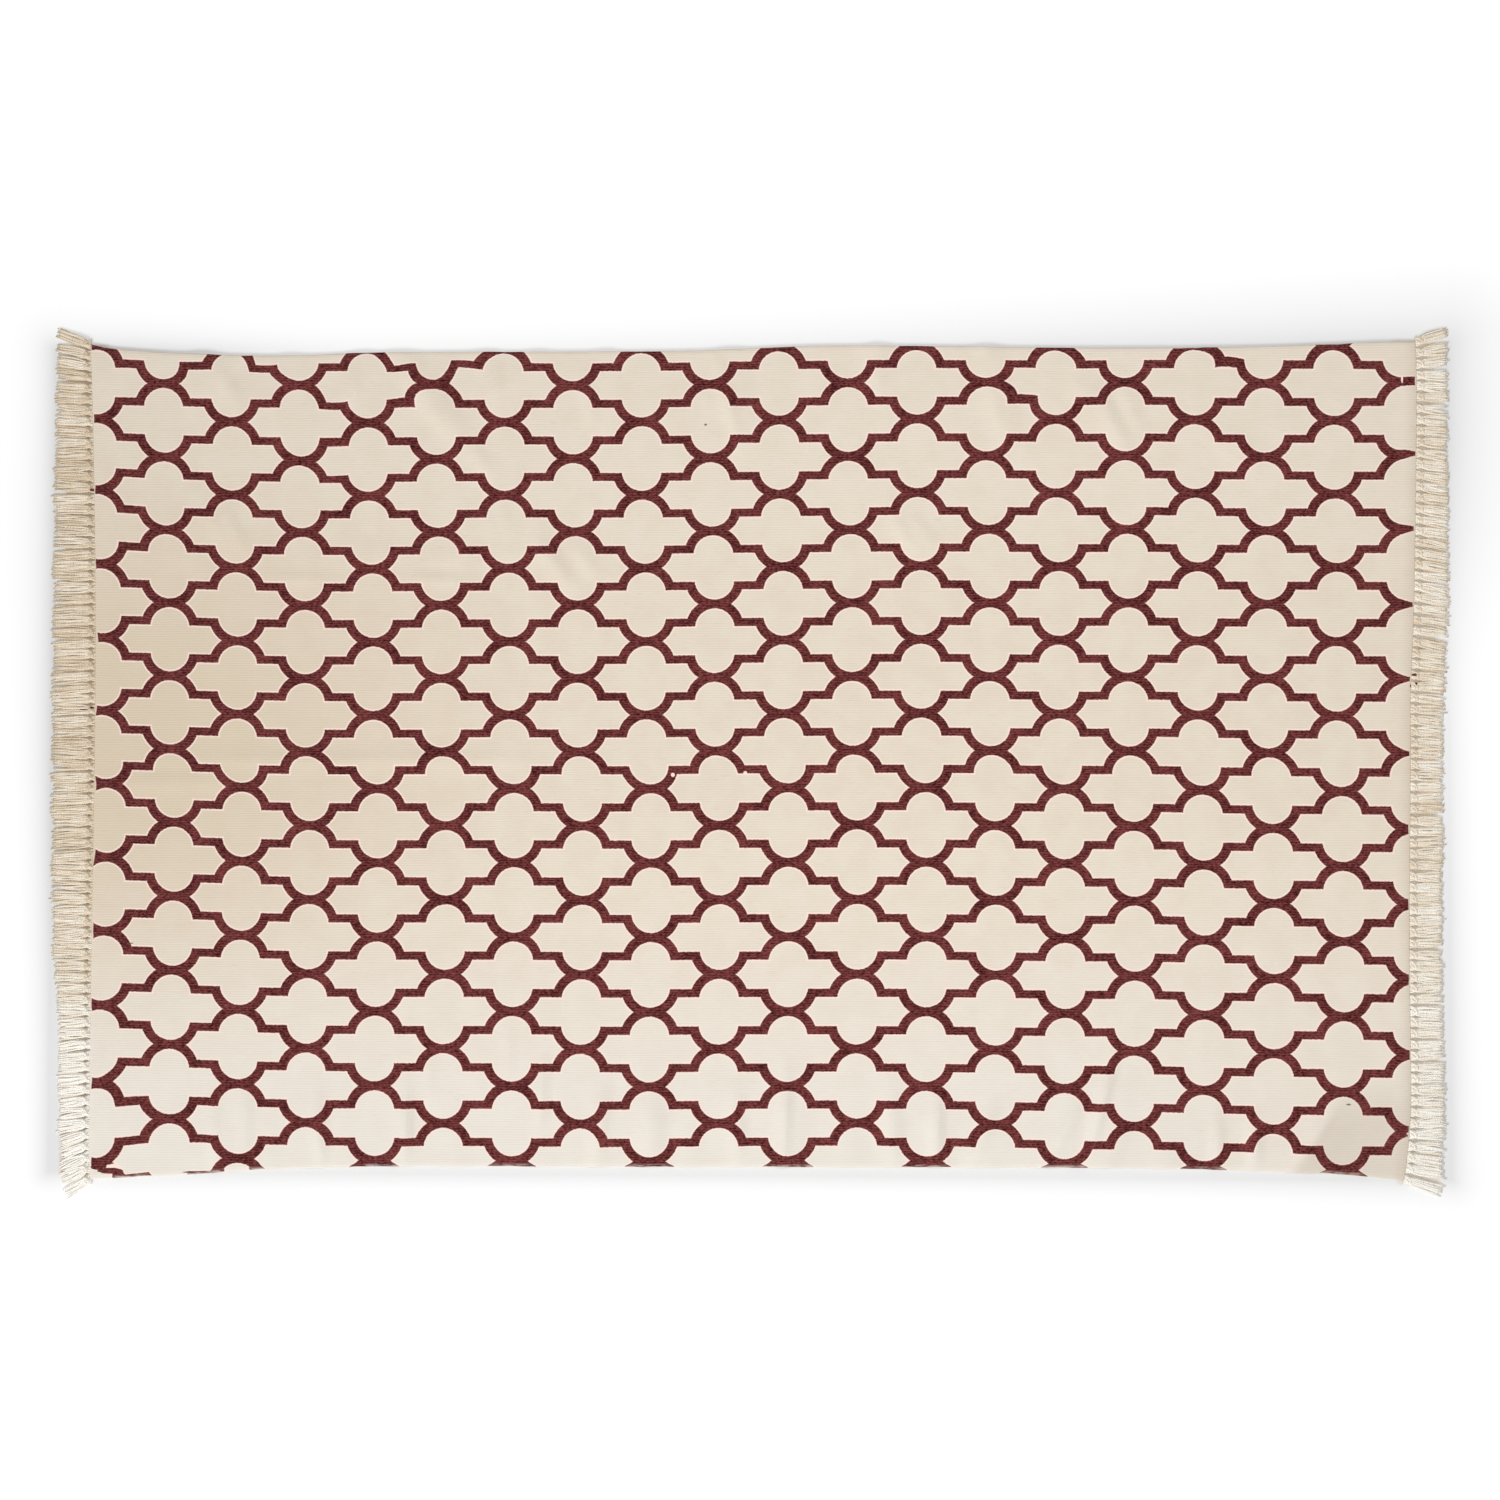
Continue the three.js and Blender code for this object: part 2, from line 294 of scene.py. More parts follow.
def swell(distance):
    """1 in the middle, dying out evenly at a distance of 1."""
    return np.where(distance < 1, 0.5 + 0.5 * np.cos(np.pi * np.minimum(distance, 1)), 0)


def highest_of(table, x, y):
    """The highest of a table's ridges at each place."""
    highest = np.zeros_like(x)
    for middle_x, middle_y, lean, half_long, half_wide, rise in table:
        turn = math.radians(lean)
        across = (x - middle_x) * math.cos(turn) - (y - middle_y) * math.sin(turn)
        down = (x - middle_x) * math.sin(turn) + (y - middle_y) * math.cos(turn)
        here = rise * swell(np.abs(across) / half_wide) * swell(np.abs(down) / half_long)
        highest = np.maximum(highest, here)
    return highest


def lift(x, y):
    """How high the cloth's underside stands off the floor."""
    rise = RIDGE_SHARE * highest_of(RIDGES, x, y) + highest_of(FOLDS, x, y)
    return np.minimum(rise, FLOP_LEVEL + (rise - FLOP_LEVEL) * FLOP_SHARE)


def cloth_place(u, v):
    """A place on the cloth, by its shares of the way along and across."""
    level = HALF_WIDTH * (2 * v - 1)
    x = left_end(level) * (1 - u) + right_end(level) * u
    return x, lower_edge(x) * (1 - v) + upper_edge(x) * v


def places_of(mesh):
    places = np.empty(len(mesh.vertices) * 3, np.float32)
    mesh.vertices.foreach_get("co", places)
    return places.reshape(-1, 3).astype(float)


def vertices_in(made):
    return [part for part in made if isinstance(part, bmesh.types.BMVert)]


def mesh_of(name, shape):
    """Turns a finished shape into a mesh."""
    mesh = bpy.data.meshes.new(name)
    shape.to_mesh(mesh)
    shape.free()
    return mesh


def add_values(mesh, name, values):
    """Stores one number, or one set of three, for each vertex."""
    if values.ndim == 1:
        layer = mesh.attributes.new(name, "FLOAT", "POINT")
        layer.data.foreach_set("value", values.astype(np.float32))
    else:
        layer = mesh.attributes.new(name, "FLOAT_VECTOR", "POINT")
        layer.data.foreach_set("vector", values.astype(np.float32).ravel())


def shown(name, mesh, material, smooth=True):
    """Puts a finished mesh into the scene as a piece at the origin."""
    mesh.polygons.foreach_set("use_smooth", [smooth] * len(mesh.polygons))
    mesh.materials.append(material)
    piece = bpy.data.objects.new(name, mesh)
    bpy.context.scene.collection.objects.link(piece)
    return piece


def round_the_rim(shape):
    """Rounds the edges between the cloth's faces and its rim, but not the upright edges of the rim."""
    upright = 0.9 * CLOTH_THICK * MM
    rim = []
    for edge in shape.edges:
        start, stop = edge.verts
        if edge.calc_face_angle(0) > math.radians(RIM_ANGLE) and abs(start.co.z - stop.co.z) < upright:
            rim.append(edge)
    bmesh.ops.bevel(
        shape, geom=rim, offset=RIM_ROUNDING * MM, segments=2, profile=0.5, affect="EDGES", material=-1,
    )


def cloth_mesh():
    """One closed sheet. Each vertex knows its place on the print and how far inside the edges it lies."""
    shape = bmesh.new()
    bmesh.ops.create_grid(shape, x_segments=COLUMNS, y_segments=ROWS, size=0.5)
    made = bmesh.ops.extrude_face_region(shape, geom=shape.faces[:], use_keep_orig=True)["geom"]
    bmesh.ops.translate(shape, verts=vertices_in(made), vec=(0, 0, 1))
    shares = np.array([corner.co for corner in shape.verts])
    x, y = cloth_place(shares[:, 0] + 0.5, shares[:, 1] + 0.5)
    z = lift(x, y) + shares[:, 2] * CLOTH_THICK
    for corner, place in zip(shape.verts, np.stack([x, y, z], 1) * MM):
        corner.co = place
    bmesh.ops.recalc_face_normals(shape, faces=shape.faces[:])
    round_the_rim(shape)
    mesh = mesh_of("cloth", shape)
    x, y, z = places_of(mesh).T / MM
    side = np.minimum(y - lower_edge(x), upper_edge(x) - y)
    add_values(mesh, "inset", np.stack([x - left_end(y), right_end(y) - x, side], 1))
    chart_x, chart_y = print_chart(x, y)
    add_values(mesh, "chart", np.stack([chart_x, chart_y, (z - lift(x, y)) / CLOTH_THICK], 1))
    lay_out(mesh, x / HALF_LENGTH, y / HALF_WIDTH)
    return mesh


def lay_out(mesh, share_x, share_y):
    """Lays the cloth out flat on a square: the face below, and the back above it, squeezed."""
    corner = np.empty(len(mesh.loops), np.int32)
    mesh.loops.foreach_get("vertex_index", corner)
    normals = np.empty(len(mesh.polygons) * 3, np.float32)
    mesh.polygons.foreach_get("normal", normals)
    sides = np.empty(len(mesh.polygons), np.int32)
    mesh.polygons.foreach_get("loop_total", sides)
    back = np.repeat(normals[2::3] < 0, sides)
    u = share_x[corner] * LAID_HALF_LONG + 0.5
    v = share_y[corner] * LAID_HALF_WIDE + 0.5
    v = np.where(back, LAID_BACK_START + LAID_BACK * v, LAID_FACE * v)
    layout = mesh.uv_layers.new(name="OFBake")
    layout.uv.foreach_set("vector", np.stack([u, v], 1).astype(np.float32).ravel())


# Shapes of the fringe

def tube_template():
    """A straight tube of unit radius whose rings stand at 0, 1, 2 and so on."""
    shape = bmesh.new()
    bmesh.ops.create_circle(shape, cap_ends=True, segments=YARN_SIDES, radius=1)
    top = next(iter(shape.faces))
    for ring in range(1, YARN_RINGS):
        made = bmesh.ops.extrude_face_region(shape, geom=[top] + top.edges[:])["geom"]
        bmesh.ops.translate(shape, verts=vertices_in(made), vec=(0, 0, 1))
        top = next(part for part in made if isinstance(part, bmesh.types.BMFace))
    bmesh.ops.recalc_face_normals(shape, faces=shape.faces[:])
    return shape


def loop_template():
    """A closed loop of tube of unit radius round the Z axis."""
    shape = bmesh.new()
    made = bmesh.ops.create_circle(shape, cap_ends=False, segments=YARN_SIDES, radius=1)
    bmesh.ops.rotate(
        shape, verts=made["verts"], cent=(0, 0, 0), matrix=Matrix.Rotation(math.pi / 2, 3, "X"),
    )
    bmesh.ops.translate(shape, verts=made["verts"], vec=(LOOP_RADIUS, 0, 0))
    bmesh.ops.spin(
        shape, geom=shape.verts[:] + shape.edges[:], cent=(0, 0, 0), axis=(0, 0, 1), dvec=(0, 0, 0),
        angle=2 * math.pi, steps=KNOT_RINGS, use_merge=True,
    )
    bmesh.ops.recalc_face_normals(shape, faces=shape.faces[:])
    return shape


def repeated(template, count):
    """One mesh with so many copies of a template, in order, and the places of one copy's vertices."""
    single = mesh_of("single", template)
    shape = bmesh.new()
    for copy in range(count):
        shape.from_mesh(single)
    return mesh_of("copies", shape), places_of(single)


def swept(paths, radii, ring, turn, closed=False):
    """Places of tube corners round paths. ring and turn give each corner's ring and its angle."""
    if closed:
        ahead = np.roll(paths, -1, 1) - np.roll(paths, 1, 1)
    else:
        ahead = np.gradient(paths, axis=1)
    ahead /= np.linalg.norm(ahead, axis=2, keepdims=True)
    side = np.cross([0.0, 0.0, 1.0], ahead)
    side /= np.linalg.norm(side, axis=2, keepdims=True)
    above = np.cross(ahead, side)
    outwards = side[:, ring] * np.cos(turn)[None, :, None] + above[:, ring] * np.sin(turn)[None, :, None]
    return paths[:, ring] + outwards * radii[:, ring, None]


def finished(mesh, corners, turn, reach, tone):
    """Places the corners of all copies, and stores how each cord lies and how light it is."""
    mesh.vertices.foreach_set("co", (corners * MM).astype(np.float32).ravel())
    laid = np.stack(np.broadcast_arrays(np.cos(turn), np.sin(turn), reach), -1)
    add_values(mesh, "laid", laid.reshape(-1, 3))
    add_values(mesh, "tone", np.repeat(tone, corners.shape[1]))
    mesh.update()
    return mesh


def side_by_side(count):
    """Places of so many yarns across a lock whose width is 1."""
    return (np.arange(count) + 0.5) / count - 0.5


class Fringe:
    """The locks along one woven end. Outwards is -1 at the left and 1 at the right."""

    def __init__(self, outwards, reach, leanings, tones, fullness, seed):
        self.outwards = outwards
        self.random = np.random.default_rng(seed)
        end = right_end if outwards > 0 else left_end
        corner_x = end(np.array([-HALF_WIDTH, HALF_WIDTH]))
        cloth_low = lower_edge(corner_x[0])
        cloth_wide = upper_edge(corner_x[1]) - cloth_low
        pitch = (cloth_wide + 2 * STRIP_PAST_CORNER) / LOCKS
        self.root_y = cloth_low - STRIP_PAST_CORNER + pitch * (np.arange(LOCKS) + 0.5)
        level = HALF_WIDTH * (2 * (self.root_y - cloth_low) / cloth_wide - 1)
        self.root_x = end(np.clip(level, -HALF_WIDTH, HALF_WIDTH))
        self.reach = along(reach, self.root_y) * (1 + REACH_VARIES * self.draw(-1, 1))
        self.lean = np.radians(along(leanings, self.root_y) + LEAN_VARIES * self.draw(-1, 1))
        self.tone = TONE_VARIES * self.draw(-1, 1) + along(tones, self.root_y)
        self.fullness = self.draw(*fullness)

    def draw(self, low, high, shape=LOCKS):
        """Random numbers between two, one for each lock unless more are asked for."""
        return self.random.uniform(low, high, shape)

    def spot(self, lock, out, side, height):
        """A place by its distance outwards along a lock, its distance to the side and its height."""
        lean = self.lean[lock] * np.clip(out / LEANS_BY, 0, 1)
        x = self.root_x[lock] + self.outwards * (out * np.cos(lean) - side * np.sin(lean))
        return np.stack([x, self.root_y[lock] + out * np.sin(lean) + side * np.cos(lean), height], -1)

    def yarns(self):
        """Warp ends that leave the cloth side by side, pass the knot close together and then spread."""
        each = LOWER_YARNS + UPPER_YARNS
        count = LOCKS * each
        one_each = (count, 1)
        lock = np.repeat(np.arange(LOCKS), each)[:, None]
        above = np.tile(np.arange(each) >= LOWER_YARNS, LOCKS)[:, None]
        places = np.concatenate([side_by_side(LOWER_YARNS), side_by_side(UPPER_YARNS) * UPPER_WIDTH])
        share = np.tile(places, LOCKS)[:, None] + self.draw(-SLIPS, SLIPS, one_each)
        length = self.reach[lock] * (USUAL_LENGTH + self.draw(-SHORTER, LONGER, one_each))
        length += np.where(self.draw(0, 1, one_each) > 1 - LONG_ONES, LONG_BY, 0)
        first_out = np.broadcast_to(np.array(ROOT_RINGS), (count, len(ROOT_RINGS)))
        past_knot = KNOT_OUT + PAST_KNOT
        out = np.concatenate([first_out, past_knot + (length - past_knot) * np.array(TIP_RINGS)], 1)
        wave = self.draw(0, 2 * np.pi, one_each) + out / self.draw(*WAVE_LONG, one_each)
        stray = self.draw(-STRAY_MOST, STRAY_MOST, one_each) * STRAYS
        side = share * LOCK_WIDTHS * self.fullness[lock] + WAVE_WIDE * np.sin(wave) * SWAYS + stray
        height = np.where(above, UPPER_HEIGHTS, LOWER_HEIGHTS)
        height = height + WAVE_HIGH * np.sin(wave * SLOWER_UPWARDS) * above
        radii = YARN_RADIUS * YARN_TAPER * self.draw(*YARN_GROWS, one_each)
        mesh, single = repeated(tube_template(), count)
        ring = np.rint(single[:, 2]).astype(int)
        turn = np.arctan2(single[:, 1], single[:, 0])
        corners = swept(self.spot(lock, out, side, height), radii, ring, turn)
        tone = TONE_OF_LOCK * self.tone[lock] + TONE_OF_YARN * self.draw(-1, 1, one_each)
        # Painted light and shade: the upper layer paler, and the lower layer and each lock's outer yarns
        # darker, as if shaded by the yarns beside and above them.
        tone += np.where(above, UPPER_PAINTED_PALER, -LOWER_PAINTED_DARKER) - OUTER_PAINTED_DARKER * share ** 2
        return finished(mesh, corners, turn, out[:, ring], tone[:, 0])

    def knots(self):
        """One three-lobed knot round the warp ends of each lock, a little darker than the yarns."""
        mesh, single = repeated(loop_template(), LOCKS)
        swing = np.mod(np.arctan2(single[:, 1], single[:, 0]), 2 * np.pi)
        ring = np.rint(swing / (2 * np.pi) * KNOT_RINGS).astype(int) % KNOT_RINGS
        turn = np.arctan2(single[:, 2], LOOP_RADIUS - np.hypot(single[:, 0], single[:, 1]))
        t = 2 * np.pi * np.arange(KNOT_RINGS) / KNOT_RINGS
        lock = np.arange(LOCKS)[:, None]
        grow = self.draw(*KNOT_GROWS, (LOCKS, 1))
        out = KNOT_OUT + KNOT_LONG * grow * (np.cos(t) - 2 * np.cos(2 * t))
        side = KNOT_WIDE * grow * (np.sin(t) + 2 * np.sin(2 * t))
        height = KNOT_HEIGHT + KNOT_RISE * np.sin(3 * t) * grow
        radii = np.broadcast_to(CORD_RADIUS * grow, (LOCKS, KNOT_RINGS))
        corners = swept(self.spot(lock, out, side, height), radii, ring, turn, closed=True)
        reach = np.broadcast_to(RING_STEP * ring, (LOCKS, len(ring)))
        return finished(mesh, corners, turn, reach, KNOT_OF_LOCK * self.tone - KNOT_DARKER)


# The printed trellis, charted on the cloth in millimetres

CELL_LONG = 150.0
CELL_WIDE = 80.67
LAST_CROSSING = 9 * CELL_LONG

# The two screens of the print, which meet in a band across the middle: the length and width of a cell, the
# first cell's middle, and how far a column leans and a row climbs for each millimetre along it.
UPPER_SCREEN = (150.0, 80.26, -631.33, 370.7, 0.01809, 0.0)
LOWER_SCREEN = (149.7, 80.895, -625.75, 373.41, -0.00414, 0.00128)
JOIN_TOP = 10.0
JOIN_BLEND = 40.0

# How far the print was dragged towards +Y, at places along the rug.
PRINT_RISE = (
    (-715, 3.5), (-631, 1.4), (-555, -0.6), (-479, -1.9), (-404, -2), (-252, -1.4), (-176, -1.6),
    (-100, -1.3), (-24, -0.4), (127, 0.6), (203, 0.7), (355, -0.4), (431, -0.2), (507, -1.5),
    (582, -2.1), (712, -2.6),
)
# How far it was dragged towards +X, and how far stretched at each end, at places across the rug.
PRINT_SHIFT = (
    (-423, 0.7), (-330, 0.1), (-262, 0.8), (-200, 1.2), (-132, 1.0), (-45, 0), (42, -0.2), (86, 0),
    (129, 1.0), (195, 1.8), (260, 0.5), (303, -0.7), (347, 0.3), (431, 0.7),
)
PRINT_STRETCH = (
    (-423, -0.5), (-306, 0.9), (-219, 0.3), (-132, -0.4), (-20, -0.9), (60, -1.5), (129, -1.5),
    (173, -0.4), (216, 0.4), (260, 1.5), (347, 1.8), (400, 2.6), (431, 2.2),
)
# Where it was also dragged aside: middle x and y, half sizes along and across, then how far it went along
# and across.
PRINT_DRAGS = (
    (-715, -460, 95, 130, -2.0, -8.5),
    (-715, -330, 85, 190, -4.0, 0),
    (-718, -357, 34, 24, 0, -3.6),
    (-700, -384, 60, 30, 0, -1.0),
    (-695, -410, 80, 110, -5.2, -2.4),
    (-627, -430, 40, 40, 0, -1.6),
    (-710, 290, 80, 130, 0.5, 2.6),
    (-480, 420, 320, 75, -0.4, 2.0),
    (680, -450, 200, 80, -1.0, -2.6),
    (705, -350, 90, 180, -1.6, 0),
    (700, 20, 90, 130, -1.3, 0),
    (130, -430, 340, 120, 1.2, 1.3),
    (640, 180, 330, 130, 0, 0.7),
    (30, 290, 250, 90, 0, -0.9),
    (-316, 428, 45, 34, -5.5, 4.5),
    (-368, 403, 34, 26, -5, 3.5),
    (-388, 438, 26, 20, 0, -4),
    (-528, 432, 40, 24, -3.5, -3),
    (-617, 438, 34, 24, -4, 0),
    (-451, 394, 34, 24, 0, -3),
    (-461, 323, 60, 36, 0, -3),
    (302, 405, 40, 32, 4.5, 3.5),
    (378, 436, 40, 26, 3.5, 0),
    (522, 440, 34, 26, 3.5, 4),
    (570, 452, 190, 45, 0, 1.6),
    (-690, 456, 60, 50, 0, 2.6),
    (726, 405, 40, 60, 0, 3.0),
    (726, 333, 40, 50, 0, 4.2),
    (726, 253, 40, 50, 0, 2.6),
)
# The stretches hold for this distance from the middle.
STRETCH_AT = 600.0


def on_screen(screen, x, y):
    """Where a place on the cloth falls on the drawing, by one screen."""
    cell_long, cell_wide, first_x, first_y, lean, climb = screen
    chart_x = (x + lean * y - first_x) * (CELL_LONG / cell_long)
    chart_y = (y + climb * x - first_y) * (CELL_WIDE / cell_wide)
    return chart_x, chart_y


def print_chart(x, y):
    """Where each place on the cloth falls on the drawing of the trellis, whose cells are all alike."""
    below = np.clip((JOIN_TOP - y) / JOIN_BLEND, 0, 1)
    upper_x, upper_y = on_screen(UPPER_SCREEN, x, y)
    lower_x, lower_y = on_screen(LOWER_SCREEN, x, y)
    chart_x = upper_x + (lower_x - upper_x) * below
    chart_x = chart_x - along(PRINT_SHIFT, y) - along(PRINT_STRETCH, y) * x / STRETCH_AT
    chart_y = upper_y + (lower_y - upper_y) * below - along(PRINT_RISE, x)
    for middle_x, middle_y, half_x, half_y, drag_x, drag_y in PRINT_DRAGS:
        here = swell(np.hypot((x - middle_x) / half_x, (y - middle_y) / half_y))
        chart_x = chart_x - drag_x * here
        chart_y = chart_y - drag_y * here
    return np.minimum(chart_x, LAST_CROSSING), chart_y


# Faults of the hand printing in millimetres: middle x and y, then half sizes along and across.
# The stains are on the yarns, the flecks are seed husk in the cotton.
UNPRINTED = (
    (-679, -446, 18, 4.4),
    (-723, -454, 10, 3.0),
    (713, 413.5, 1.1, 4.6),
    (714, -402, 1.2, 1.2),
    (-78, -17, 2.2, 2.2),
    (1, -15, 2.2, 2.0),
)
SMEARED = (
    (-706, -446, 8, 3.0),
    (-692, -450, 14, 3.2),
    (-660, -454, 12, 1.3),
    (-592, -451, 21, 1.2),
    (723, 92, 1.6, 4.5),
    (721, 80, 1.6, 2.0),
    (-698, 456, 17, 1.4),
)
STAINS = (
    (724, 92, 2.6, 1.6),
    (726, 83, 1.2, 2.4),
    (-719, 296, 2.6, 1.6),
    (-717, 56, 2.4, 1.2),
    (-726, 54, 5.0, 0.7),
    (-717, -25, 3.0, 1.4),
)
FLECKS = (
    (-43, 366, 1.6, 1.2),
    (651, -371, 2.6, 1.0),
    (-672, -202, 3.0, 0.8),
)


# Materials

class Wire:
    """One output of a material's nodes. Arithmetic on it adds Math nodes."""

    def __init__(self, tree, socket):
        self.tree = tree
        self.socket = socket

    def node(self, kind, settings, values, output=0):
        """Adds a node, makes its settings first, then gives its sockets numbers or links."""
        node = self.tree.nodes.new(kind)
        for name, setting in settings.items():
            setattr(node, name, setting)
        for name, value in values.items():
            if isinstance(value, Wire):
                self.tree.links.new(value.socket, node.inputs[name])
            else:
                node.inputs[name].default_value = value
        return Wire(self.tree, node.outputs[output])

    def maths(self, operation, *values):
        return self.node("ShaderNodeMath", {"operation": operation}, dict(enumerate(values)))

    def __add__(self, other):
        return self.maths("ADD", self, other)

    def __radd__(self, other):
        return self.maths("ADD", other, self)

    def __sub__(self, other):
        return self.maths("SUBTRACT", self, other)

    def __rsub__(self, other):
        return self.maths("SUBTRACT", other, self)

    def __mul__(self, other):
        return self.maths("MULTIPLY", self, other)

    def __rmul__(self, other):
        return self.maths("MULTIPLY", other, self)

    def length_with(self, other):
        """The length of a line, given how far it goes along and across."""
        return self.maths("POWER", self * self + other * other, 0.5)

    def ramp(self, low, high):
        """A smooth rise from 0 at low to 1 at high."""
        settings = {"interpolation_type": "SMOOTHSTEP"}
        return self.node("ShaderNodeMapRange", settings, {0: self, 1: low, 2: high, 3: 0.0, 4: 1.0})

    def fall(self, low, high):
        """A smooth fall from 1 at low to 0 at high."""
        return 1 - self.ramp(low, high)

    def parts(self):
        return [self.node("ShaderNodeSeparateXYZ", {}, {0: self}, n) for n in range(3)]

    def stored(self, name, output="Vector"):
        """Values that a mesh stores for its vertices."""
        return self.node("ShaderNodeAttribute", {"attribute_name": name}, {}, output)

    def cloud(self, size, detail=2.0, stretch=(1, 1, 1)):
        """Noise with blotches of a size in millimetres, centred on nought, from about -1 to 1."""
        shrunk = {0: self, 1: [1 / (size * share) for share in stretch]}
        scaled = self.node("ShaderNodeVectorMath", {"operation": "MULTIPLY"}, shrunk)
        values = {"Vector": scaled, "Scale": 1.0, "Detail": detail, "Roughness": 0.55}
        return (self.node("ShaderNodeTexNoise", {"noise_type": "FBM"}, values) - 0.5) * 4


def rgb(red, green, blue):
    """A colour as a screen shows it, from 0 to 255, as linear light with full alpha."""
    shares = [value / 255 for value in (red, green, blue)]
    return [s / 12.92 if s <= 0.04045 else ((s + 0.055) / 1.055) ** 2.4 for s in shares] + [1.0]


def mixed(share, under, over):
    """One colour over another."""
    return share.node("ShaderNodeMix", {"data_type": "RGBA"}, {0: share, 6: under, 7: over}, 2)


def new_finish(name, roughness, sheen, unit=MM):
    """A plain cloth-like material: itself, its shader and its object coordinates in a unit."""
    material = bpy.data.materials.new(name)
    material.use_nodes = True
    tree = material.node_tree
    shader = tree.nodes["Principled BSDF"]
    shader.inputs["Roughness"].default_value = roughness
    shader.inputs["Specular IOR Level"].default_value = 0.1
    shader.inputs["Sheen Weight"].default_value = sheen
    shader.inputs["Sheen Roughness"].default_value = 0.6
    metres = Wire(tree, None).node("ShaderNodeTexCoord", {}, {}, "Object")
    place = metres.node("ShaderNodeVectorMath", {"operation": "SCALE"}, {0: metres, "Scale": 1 / unit})
    return material, shader, place


def worn(shader, wire_by_socket):
    for name, wire in wire_by_socket.items():
        wire.tree.links.new(wire.socket, shader.inputs[name])


def patches(place, table):
    """1 within any of a table's patches, fading to nought over their edges."""
    x, y = place.parts()[:2]
    share = 0.0
    for middle_x, middle_y, half_x, half_y in table:
        across = (x - middle_x) * (1 / half_x)
        down = (y - middle_y) * (1 / half_y)
        share = x.maths("MAXIMUM", (across * across + down * down).fall(0.5, 1.5), share)
    return share


# One cell of the trellis in millimetres, seen from its middle
LOBE_OUT = 13.9
LOBE_RADIUS = 21.5
SHOULDER = 15.7
BAND_ARC = 31.8
BAND_ARC_OUT = 26.4


def inside_cell(a, b):
    """How far inside a cell a place lies, given its distances from the cell's middle along and across."""
    lobe = LOBE_RADIUS - a.length_with(b - LOBE_OUT)
    past_arc = (a - CELL_LONG / 2).length_with(b - BAND_ARC_OUT) - BAND_ARC
    return a.maths("MAXIMUM", lobe, a.maths("MINIMUM", SHOULDER - b, past_arc))


def inside_trellis(chart_x, chart_y):
    """How far inside the nearest unprinted cell a place lies. It is below nought on the printed bands."""
    a = chart_x.maths("PINGPONG", chart_x, CELL_LONG / 2)
    b = chart_y.maths("PINGPONG", chart_y, CELL_WIDE / 2)
    return a.maths("MAXIMUM", inside_cell(a, b), inside_cell(CELL_LONG / 2 - a, CELL_WIDE / 2 - b))


# The weave in millimetres: the spacing of its ribs and picks, and how deep it and the streaks are
RIB_PITCH = 2.7
PICK_PITCH = 1.35
RELIEF = 0.16
STREAK_RELIEF = 0.03

# Colours of the cotton, as a screen shows them
COTTON_DIM = rgb(228, 215, 198)
COTTON_CLEAR = rgb(232, 221, 205)
COTTON_STREAK = rgb(216, 200, 180)
COTTON_WEFT = rgb(240, 232, 220)
COTTON_TAN = rgb(214, 196, 170)
COTTON_PALE = rgb(236, 233, 228)
COTTON_SHADED_AT_END = rgb(198, 182, 160)
COTTON_IN_SHADE = rgb(198, 184, 164)
HUSK = rgb(92, 70, 52)
# Colours of the print
INK_DARK = rgb(44, 0, 3)
INK_WORN = rgb(139, 72, 70)
INK_HALO = rgb(255, 228, 216)
INK_ON_YARN = rgb(118, 60, 56)
# Colours of the yarns
YARN_DARK = rgb(216, 198, 172)
YARN_MIDDLE = rgb(237, 226, 208)
YARN_LIGHT = rgb(250, 245, 236)
YARN_PALE = rgb(247, 245, 240)

# The tan patch in millimetres: its middle and its half sizes. A faint tan band crosses the middle. The rug
# is paler below, wholly under the first level and not at all over the second, and less so at the right.
TAN_MIDDLE = (-710, 30)
TAN_HALF = (500, 370)
TAN_MOST = 0.7
BAND_LOW = (-150, -20)
BAND_TOP = (160, 290)
BAND_LEFT = (-600, -350)
BAND_MOST = 0.15
PALER_BELOW = (-440, -130)
PALE_RIGHT = (350, 650)
PALE_MOST = 0.48
YARN_PALE_MOST = 0.35
# A shade lies past a fold in the lower-right corner, which runs where x less a share of y is this much.
CORNER_FOLD = 900
CORNER_FOLD_LEAN = 0.7
# How far in from the cloth's ends and sides the print starts, and where it is whole, in millimetres.
STARTS_LEFT = (1.6, 2.6)
STARTS_RIGHT = (1.2, 2.0)
STARTS_SIDES = (-0.2, 0.8)
# The print runs wider towards the right end, and bleeds over the lower rim.
WIDER_AT_END = 2.7
BLED_AT_RIM = 2.2


def weave_height(place):
    """Height of the weave from 0 to 1: ribs over the warp, and picks that alternate from rib to rib."""
    x, y = place.parts()[:2]
    y = y + place.cloud(26, 2.0, (3, 1, 1)) * 0.5
    rib = y.maths("ABSOLUTE", y.maths("SINE", y * (math.pi / RIB_PITCH)))
    pick = x.maths("SINE", x * (2 * math.pi / PICK_PITCH) + y * (math.pi / RIB_PITCH))
    return rib * 0.7 + pick * 0.15 + 0.15


